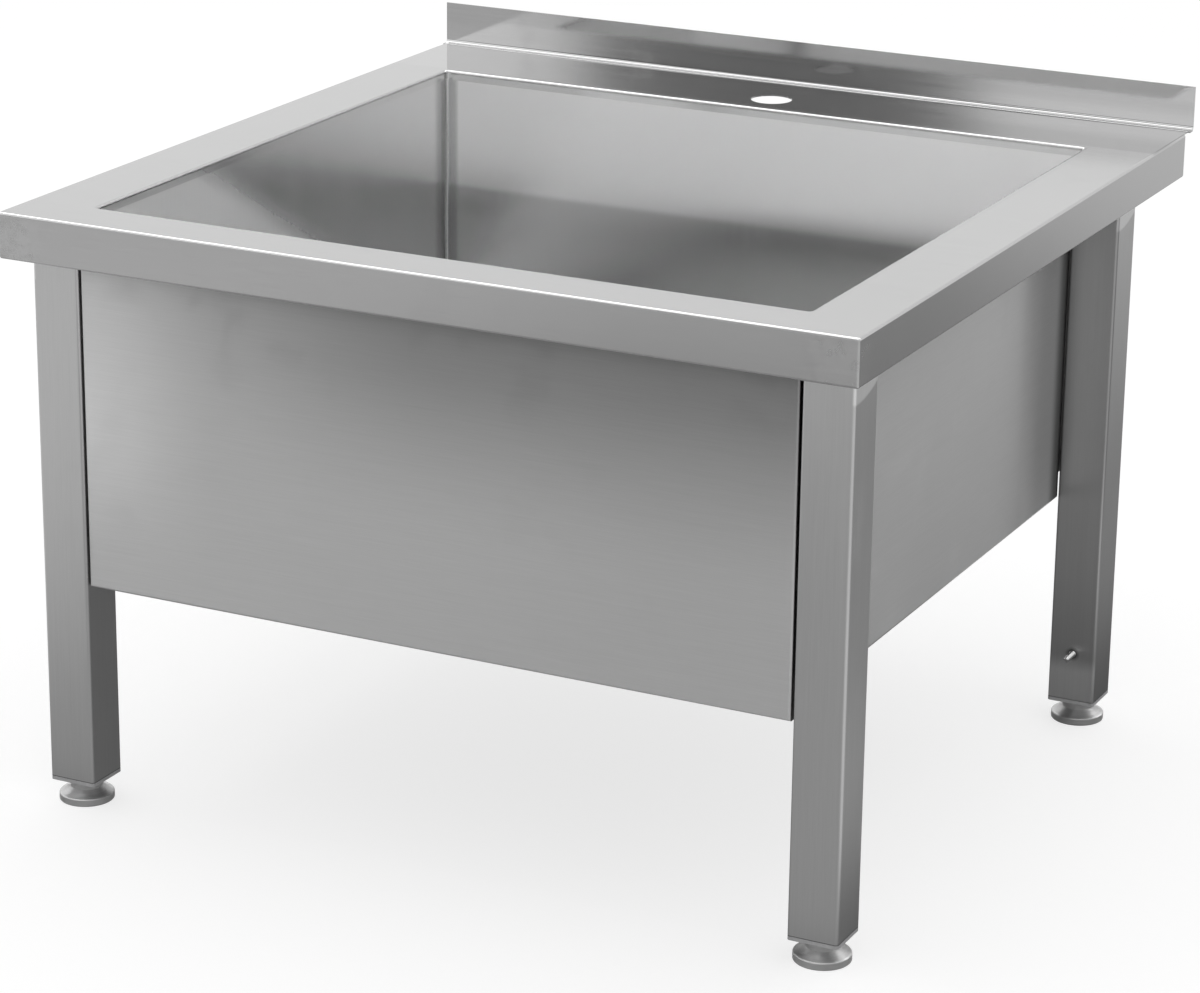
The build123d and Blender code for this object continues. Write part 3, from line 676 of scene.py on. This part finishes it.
def leg_finish(node):
    """Marks on one leg: the wheel's light patch under its weld, and a painted shadow line at its foot.

    The rear right leg's front is painted darker higher up and lighter at its foot, round the stud, a
    painted reflection."""
    low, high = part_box(node)
    side = 1.0 if low.x > 0 else -1.0
    middle = abs(low.x + high.x) / 2

    def marks(graph, place, level, rough):
        x, y, z = place
        along = (y - low.y) / (high.y - low.y)
        curve = skirt_foot - PATCH_HEIGHT + along * along * PATCH_SLANT
        outside = graph.rise(x * side, middle + OUTSIDE_FACE[0], middle + OUTSIDE_FACE[1])
        patch = graph.rise(z - curve, 0.0, PATCH_EDGE) * outside
        # painted shadow: a dark line at the leg's foot, where it meets the insert
        painted_foot_shadow = graph.rise(z, low.z + FOOT_SHADOW_LINE[0], low.z + FOOT_SHADOW_LINE[1])
        level = level * (1.0 - painted_foot_shadow * 0.65) + patch * 0.22
        rough = rough + patch * 0.06
        if node == "rear_right_leg":
            front = graph.rise(y, low.y + 2.5 * MM, low.y + 1.0 * MM)
            # painted reflection on the rear right leg's front: darker higher up, lighter at its foot
            darker = graph.rise(z, *PAINTED_DARK_HEIGHTS) * 0.36 - graph.rise(z, *PAINTED_LIGHT_FOOT) * 0.60
            return stud_ring_darkening(graph, place, level * (1.0 - front * darker), rough)
        return level, rough

    return marks


# ---------------------------------------------------------------- finish of the bowl and worktop
WORKTOP_TONE = 0.50
# the bowl's steel is painted much lighter than the worktop's, a painted light for the bowl's inside
BOWL_TONE = 0.78
SEAM_REFLECTION_BAND = 13 * MM     # width of the band painted darker beside each upright seam of the bowl, a painted reflection
INNER_FACE = (0.3 * MM, 0.8 * MM)   # from a wall's outer face to its inner one
REAR_SHADE_LINE = (386 * MM, 379 * MM)       # the rear wall is painted darker below these heights, a painted reflection
LIT_PATCH_HEIGHT = 452 * MM      # where the left wall's rougher, painted-lighter front part ends, at the place below
LIT_PATCH_PLACE = -97.5 * MM
LIT_PATCH_SLOPE = 0.56           # how much lower it ends for each metre to the rear
LIT_PATCH_EDGE = (18 * MM, -20 * MM)


def front_lit_patch(graph, place):
    """1 in the lower front of the bowl's left wall, up to a slanting line, where the steel is rougher and,
    on the wall, painted lighter, a painted light.
    """
    line = LIT_PATCH_HEIGHT - (place[1] - LIT_PATCH_PLACE) * LIT_PATCH_SLOPE
    return graph.rise(place[2] - line, *LIT_PATCH_EDGE)


def painted_wall_shading_and_mill_side(node):
    """Bands painted darker and made rougher beside the upright seams at both ends of a bowl wall, a
    painted reflection of the walls in each other.

    The left wall also has its rougher front part painted lighter, the rear wall is painted darker below a
    line, and the side away from the bowl is left as the mill rolled it."""
    low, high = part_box(node)
    axis = 0 if high.x - low.x > high.y - low.y else 1
    outer = max(low[1 - axis], high[1 - axis], key=abs)
    half = (high[axis] - low[axis]) / 2
    middle = (low[axis] + high[axis]) / 2

    def bands(graph, place, level, rough):
        inner = graph.rise(graph.size(place[1 - axis] - outer), *INNER_FACE)
        gap = half - graph.size(place[axis] - middle)
        # painted reflection: a darker band beside each upright seam
        band = inner * graph.rise(gap, SEAM_REFLECTION_BAND, SEAM_REFLECTION_BAND * 0.6)
        if node == "bowl_left_wall":
            # painted light: the left wall's front part is painted lighter and made rougher
            lit_patch = front_lit_patch(graph, place) * inner
            level, rough = level * (1.0 + lit_patch * 0.16), rough + lit_patch * 0.22
        if node == "bowl_rear_wall":
            # painted reflection: the rear wall's inner face is darker below the line
            level = level * (1.0 - inner * graph.rise(place[2], *REAR_SHADE_LINE) * 0.27)
        level = level * (0.66 + inner * 0.34) * (1.0 - band * 0.30)
        return level, rough + band * 0.06 + (1.0 - inner) * 0.16

    return bands


COLLAR_TOP = (6.0 * MM, 4.5 * MM)   # above the bowl's walls, where the collar begins and is full
COLLAR_SIDE = (3.0 * MM, 1.0 * MM)  # outwards from the bowl's walls
COLLAR_FRONT = (20 * MM, 30 * MM)   # from the front of the worktop
LEDGE_FRONT = (3.0 * MM, 8.0 * MM)  # from the bowl to the rear
LEDGE_TOP = (1.5 * MM, 1.0 * MM)    # below the rim
SKIRT_TOP = (1.5 * MM, 2.5 * MM)
LEDGE_SHADE_RIGHT = (40 * MM, 220 * MM)    # from the middle to the right, where the ledge is painted darker, a painted reflection
LEDGE_SHADE_REAR = (320 * MM, 276 * MM)
WHEEL_SIDE = (8 * MM, 38 * MM)      # outwards from the bowl, where the wheel marks begin and are full
WHEEL_FRONT = 30 * MM
WHEEL_TOP = (2 * MM, 6 * MM)        # below the rim
SWIRL_WAVES = 55.0
SWIRL_RANGE = (0.42, 0.68)


def collar(graph, x, y, z):
    """1 on the collar that turns down into the bowl."""
    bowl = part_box("bowl_rear_wall")[1]
    mask = graph.rise(z, bowl_top + COLLAR_TOP[0], bowl_top + COLLAR_TOP[1])
    mask = mask * graph.rise(graph.size(x), bowl.x + COLLAR_SIDE[0], bowl.x + COLLAR_SIDE[1])
    mask = mask * graph.rise(y, bowl.y + COLLAR_SIDE[0], bowl.y + COLLAR_SIDE[1])
    return mask * graph.rise(y, worktop_low.y + COLLAR_FRONT[0], worktop_low.y + COLLAR_FRONT[1])


def skirt_corners(graph, x, y, z):
    """1 at the skirt's two front corners, where the wheel dressed their welds."""
    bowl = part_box("bowl_rear_wall")[1]
    mask = graph.rise(graph.size(x), bowl.x + WHEEL_SIDE[0], bowl.x + WHEEL_SIDE[1])
    mask = mask * graph.rise(y, worktop_low.y + WHEEL_FRONT, worktop_low.y)
    return mask * graph.rise(z, rim_height - WHEEL_TOP[0], rim_height - WHEEL_TOP[1])


def bowl_edge_finish(graph, place, level, rough):
    """The collar takes the bowl's painted lighter tone and the rougher front part of its left wall, the
    ledge is smoother than the rest and painted darker at its right, a painted reflection, and the skirt's
    front corners carry the marks of the wheel."""
    x, y, z = place
    low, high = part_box("bowl_rear_wall")
    inside = collar(graph, x, y, z)
    # the collar is painted as light as the bowl
    level = level + inside * (BOWL_TONE - WORKTOP_TONE)
    corner = skirt_corners(graph, x, y, z)
    point = graph.point(x, y * 0.4, z)
    swirl = graph.rise(graph.noise(point, SWIRL_WAVES, detail=5.0, roughness=0.65), *SWIRL_RANGE)
    wheel = corner * swirl
    ledge = graph.rise(y, high.y + LEDGE_FRONT[0], high.y + LEDGE_FRONT[1])
    ledge = ledge * graph.rise(z, rim_height - LEDGE_TOP[0], rim_height - LEDGE_TOP[1])
    skirt = graph.rise(z, rim_height - SKIRT_TOP[0], rim_height - SKIRT_TOP[1]) * (1.0 - inside)
    lit_patch = inside * graph.rise(x, low.x + 3.0 * MM, low.x + 1.5 * MM) * front_lit_patch(graph, place)
    rough = rough + wheel * 0.12 - inside * 0.03 - ledge * 0.09 + skirt * 0.05 + lit_patch * 0.24
    # painted reflection: dull is the ledge painted darker towards its right and rear
    dull = ledge * graph.rise(x, *LEDGE_SHADE_RIGHT) * graph.rise(y, *LEDGE_SHADE_REAR) * 0.22
    return (level + corner * 0.03 - wheel * 0.09) * (1.0 - dull), rough


# ---------------------------------------------------------------- finish of the panels
SKIRT_SHADOW_HEIGHTS = (270 * MM, 420 * MM)  # heights over which the front panel is painted darker, a painted shadow of the skirt
SKIRT_SHADOW_RIGHT = (-270 * MM, 20 * MM)
LIT_LEFT_END = (-170 * MM, -300 * MM)
LIT_LEFT_HEIGHT = (200 * MM, 320 * MM)
LIT_BEFORE_END = (95 * MM, 60 * MM)       # from a side panel's rear end, where it is painted lighter, a painted light
# from the rear end, where the painted shadow of the gap to the leg starts and where it is full
SHADOWED_END = (26 * MM, 8 * MM)


def painted_skirt_shadow_and_sheen(graph, place, level, rough):
    """Front panel: a painted shadow under the skirt towards the right, and painted light at its left end.
    """
    x, y, z = place
    # painted shadow under the skirt towards the right, and painted light at the left end
    under = graph.rise(z, *SKIRT_SHADOW_HEIGHTS) * graph.rise(x, *SKIRT_SHADOW_RIGHT)
    left_end = graph.rise(x, *LIT_LEFT_END) * graph.rise(z, *LIT_LEFT_HEIGHT)
    return level * (1.0 - under * 0.32 + left_end * 0.26), rough


def shaded_end(graph, place, level, rough):
    """Side panels: painted lighter towards the rear leg, and a painted shadow in the last few millimetres,
    at the gap to the leg.
    """
    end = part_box("right_panel")[1].y
    lighter = graph.rise(place[1], end - LIT_BEFORE_END[0], end - LIT_BEFORE_END[1])
    # painted shadow at the panel's rear end
    end_shadow = graph.rise(place[1], end - SHADOWED_END[0], end - SHADOWED_END[1])
    return level * (1.0 + lighter * 0.38) * (1.0 - end_shadow * 0.72), rough


# ---------------------------------------------------------------- a finish for each node
# tone, roughness, spread and across of each wall of the bowl; the tones are painted lighter than plain
# steel, a painted light
WALL_FINISHES = {
    "front": (0.96, 0.70, 0.0, True),
    "rear": (0.97, 0.18, 1.0, False),
    "left": (0.82, 0.16, 0.7, True),
    "right": (BOWL_TONE, 0.40, 0.6, True),
}
STIFFENER_GRAIN = {"front": "x", "rear": "x", "left": "y", "right": "y"}


def dress_the_worktop_and_bowl():
    dress("worktop", brushed_steel("worktop_steel", "worktop", "x", tone=WORKTOP_TONE, roughness=0.17,
                                   spread=0.3, across=True, bump=0.05, marks=0.02,
                                   extra=bowl_edge_finish))
    for wall, (tone, roughness, spread, across) in WALL_FINISHES.items():
        node = f"bowl_{wall}_wall"
        dress(node, brushed_steel(f"{node}_steel", node, "z", tone=tone, roughness=roughness,
                                  spread=spread, across=across, bump=0.05, blotch=0.02, marks=0.01,
                                  extra=painted_wall_shading_and_mill_side(node)))
    # painted shade: the bowl floor is painted dark
    dress("bowl_floor", brushed_steel("bowl_floor_steel", "bowl_floor", "x", tone=0.26, roughness=0.34,
                                      spread=0.0, bump=0.05))


def dress_the_panels():
    dress("front_panel", brushed_steel("front_panel_steel", "front_panel", "x", tone=0.57,
                                       roughness=0.44, spread=1.0, across=True, edge_highlight=0.06,
                                       extra=painted_skirt_shadow_and_sheen))
    for side in ("left", "right"):
        node = f"{side}_panel"
        dress(node, brushed_steel(f"{node}_steel", node, "y", tone=0.58, roughness=0.38, spread=1.0,
                                  across=True, extra=shaded_end))
    for side, grain in STIFFENER_GRAIN.items():
        node = f"{side}_stiffener"
        dress(node, brushed_steel(f"{node}_steel", node, grain, tone=0.50, roughness=0.42, spread=0.4))


def dress_the_legs():
    grey = moulded_plastic("insert_plastic", (0.44, 0.44, 0.445))
    for corner in CORNERS:
        node = f"{corner}_leg"
        dress(node, brushed_steel(f"{node}_steel", node, "z", tone=0.58, roughness=0.36, spread=0.6,
                                  edge_highlight=0.05, extra=leg_finish(node)))
        foot = f"{corner}_foot"
        dress(foot, turned_steel(f"{foot}_steel", centre_of(foot), tone=0.52, roughness=0.52))
        dress(f"{corner}_leg_insert", grey)


def dress_the_fittings():
    rivets = bright_steel("rivet_steel", tone=0.62, roughness=0.28)
    for panel in ("front", "left", "right"):
        dress(f"{panel}_panel_rivets", rivets)
    rubber = black_rubber()
    for gasket in ("upper", "lower"):
        dress(f"waste_{gasket}_gasket", rubber)
    dress("waste_lock_nut", moulded_plastic("lock_nut_plastic", (0.03, 0.03, 0.032), 0.38))
    dress("strainer", turned_steel("strainer_steel", centre_of("strainer"), tone=0.52, roughness=0.26))
    dress("waste_body", turned_steel("waste_steel", centre_of("waste_body"), tone=0.52, roughness=0.26))


# ---------------------------------------------------------------- threads
FOOT_PITCH = 1.5 * MM
EARTH_PITCH = 0.8 * MM
EARTH_STUD = 2.5 * MM       # radius
WELD_COLLAR = 1.0 * MM      # height


def foot_studs(material):
    """Screw-cut stud of each foot."""
    for corner in CORNERS:
        node = f"{corner}_foot_stud"
        low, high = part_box(node)
        middle = centre_of(node)
        foot = (middle.x, middle.y, low.z)
        radius = (high.x - low.x) / 2
        rod = threaded_rod(foot, high.z - low.z, radius, FOOT_PITCH, UPRIGHT, tip=1.0 * MM)
        add_piece(f"{corner}_threaded_stud", [rod], material, f"{corner}_foot", "fastener", node)


def earthing_stud(material):
    """Screw-cut stud with the collar that its weld formed.

    The collar's radius falls from the box's to a little less than the stud's as the root of
    1 - s squared, where s is the share of the collar's height."""
    low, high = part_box("earth_stud")
    middle = centre_of("earth_stud")
    foot = (middle.x, high.y, middle.z)
    rod = threaded_rod(foot, high.y - low.y, EARTH_STUD, EARTH_PITCH, TOWARDS_USER, tip=0.5 * MM, turns=40)
    share = np.linspace(0.0, 1.0, 8)
    narrow, wide = EARTH_STUD * 0.9, (high.x - low.x) / 2
    flare = narrow + (wide - narrow) * np.sqrt(1.0 - share ** 2)
    profile = np.stack([flare, share * WELD_COLLAR], axis=1)
    profile = np.vstack([[POLE, 0.0], profile, [POLE, WELD_COLLAR]])
    weld_collar = lathe(profile, foot, TOWARDS_USER, turns=40)
    add_piece("earthing_stud_threaded", [rod, weld_collar], material, "frame", "fastener", "earth_stud")


# ---------------------------------------------------------------- weld beads
BEAD_INSET = 2.5 * MM       # from a leg's corners to the ends of its beads
FRONT_SEED = 5
DOWN = (0, 0, -1)


def leg_top_welds(material):
    """Fillet beads under the skirt's lip, outside each leg and in front of the front legs."""
    size = skirt_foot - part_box("leg_welds")[0].z
    beads = []
    for index, corner in enumerate(CORNERS):
        low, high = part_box(f"{corner}_leg")
        side = 1 if high.x > 0 else -1
        face = high.x if side > 0 else low.x
        # known fault: run this way, the faces of these four beads point inwards
        ends = [(face, low.y + BEAD_INSET, skirt_foot), (face, high.y - BEAD_INSET, skirt_foot)]
        start, end = ends[::-side]
        beads.append(fillet_bead(start, end, (side, 0, 0), DOWN, size, index))
        if corner.startswith("front"):
            start = (low.x + BEAD_INSET, low.y, skirt_foot)
            end = (high.x - BEAD_INSET, low.y, skirt_foot)
            beads.append(fillet_bead(start, end, (0, -1, 0), DOWN, size, index + FRONT_SEED))
    add_piece("leg_top_weld_beads", beads, material, "frame", "weld", "leg_welds")


BOWL_SHEET = 1.2 * MM
BOWL_CORNER = 2.5 * MM
CORNER_BEAD = 0.75 * MM
CORNER_RIPPLE = 1.3 * MM


def rippled_column(foot, height, radius, seed, rows=420, turns=12):
    """Upright weld bead: a round column whose radius follows the ripple.

    A point at height h and angle a lies at foot + r(h) (cos a, sin a) + h, where r is the bead's
    radius times 0.9 + 0.1 ripple."""
    rise = np.linspace(0.0, height, rows)
    reach = radius * (0.90 + 0.10 * ripple(rise, CORNER_RIPPLE, seed))
    profile = np.stack([reach, rise], axis=1)
    profile = np.vstack([[POLE, 0.0], profile, [POLE, height]])
    return lathe(profile, foot, UPRIGHT, turns)


def bowl_corner_beads(material):
    """Fine ground bead up the middle of each upright corner of the bowl."""
    inset = BOWL_CORNER * (1.0 - math.sqrt(0.5))
    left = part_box("bowl_left_wall")[0].x + BOWL_SHEET + inset
    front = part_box("bowl_front_wall")[0].y + BOWL_SHEET + inset
    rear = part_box("bowl_rear_wall")[1].y - BOWL_SHEET - inset
    height = bowl_top - seam_height
    beads = []
    for seed, (x, y) in enumerate(((left, front), (-left, front), (left, rear), (-left, rear))):
        beads.append(rippled_column((x, y, seam_height), height, CORNER_BEAD, seed))
    add_piece("bowl_corner_weld_beads", beads, material, "frame", "weld", "bowl_corner_welds")


# ---------------------------------------------------------------- the whole scene
photo_camera()
pale_floor()
studio_surroundings()
glowing_reflection_sheet()
overhead_lamp()
dress_the_worktop_and_bowl()
dress_the_panels()
dress_the_legs()
dress_the_fittings()
foot_studs(bright_steel("thread_steel"))
earthing_stud(bright_steel("earthing_stud_steel", tone=0.75, roughness=0.15))
leg_top_welds(bright_steel("weld_steel", tone=0.62, roughness=0.30))
bowl_corner_beads(bright_steel("corner_weld_steel", tone=0.85, roughness=0.30))

scene = bpy.context.scene
scene.view_settings.view_transform = "Standard"
